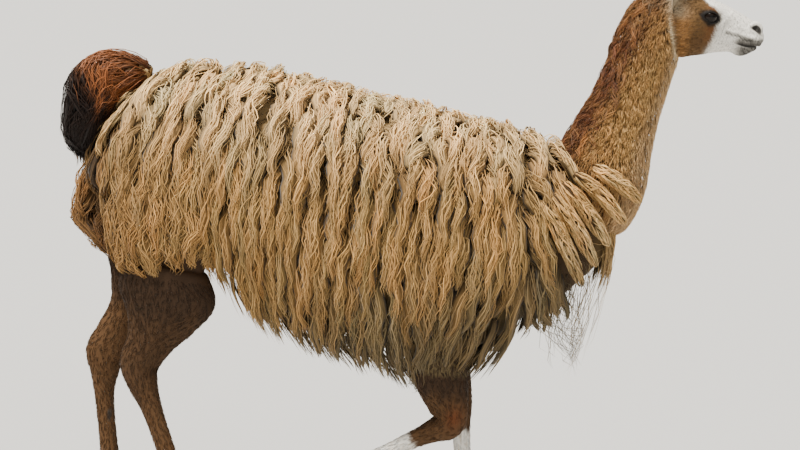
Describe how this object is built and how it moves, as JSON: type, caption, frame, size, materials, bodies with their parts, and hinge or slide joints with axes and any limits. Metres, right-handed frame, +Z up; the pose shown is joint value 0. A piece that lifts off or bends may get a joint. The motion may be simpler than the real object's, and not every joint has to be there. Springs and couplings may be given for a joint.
{
  "type": "llama",
  "caption": "Life-size standing llama in full fleece, walking with its right forefoot lifted and its head held up.",
  "frame": {"origin": "on the floor, under the middle of the whole animal's box", "axes": "+X forwards, the way the head faces; +Y to the animal's left; +Z up"},
  "size_m": [1.6708, 0.4956, 1.574],
  "materials": {
    "fleece": "matt, warm tan curled wool",
    "neck_wool": "matt, short auburn and golden-brown wool",
    "face_hair": "short hair, white muzzle and warm brown cheeks",
    "tail_hair": "slightly glossy dark brown hair",
    "leg_hair": "short brown hair",
    "foot_hair": "short white hair over a leathery pad",
    "eye": "wet, nearly black",
    "nail": "dull dark horn"
  },
  "bodies": {
    "root": {"trunk": "fleece", "neck": "neck_wool", "head": "face_hair", "ear_left": "face_hair", "ear_right": "face_hair", "eye_left": "eye", "eye_right": "eye", "tail": "tail_hair", "foreleg_left": "leg_hair", "foreleg_right": "leg_hair", "hindleg_left": "leg_hair", "hindleg_right": "leg_hair", "forefoot_left": "foot_hair", "forefoot_right": "foot_hair", "hindfoot_left": "foot_hair", "hindfoot_right": "foot_hair", "forenail_left_a": "nail", "forenail_left_b": "nail", "forenail_right_a": "nail", "forenail_right_b": "nail", "hindnail_left_a": "nail", "hindnail_left_b": "nail", "hindnail_right_a": "nail", "hindnail_right_b": "nail"}
  },
  "joints": []
}
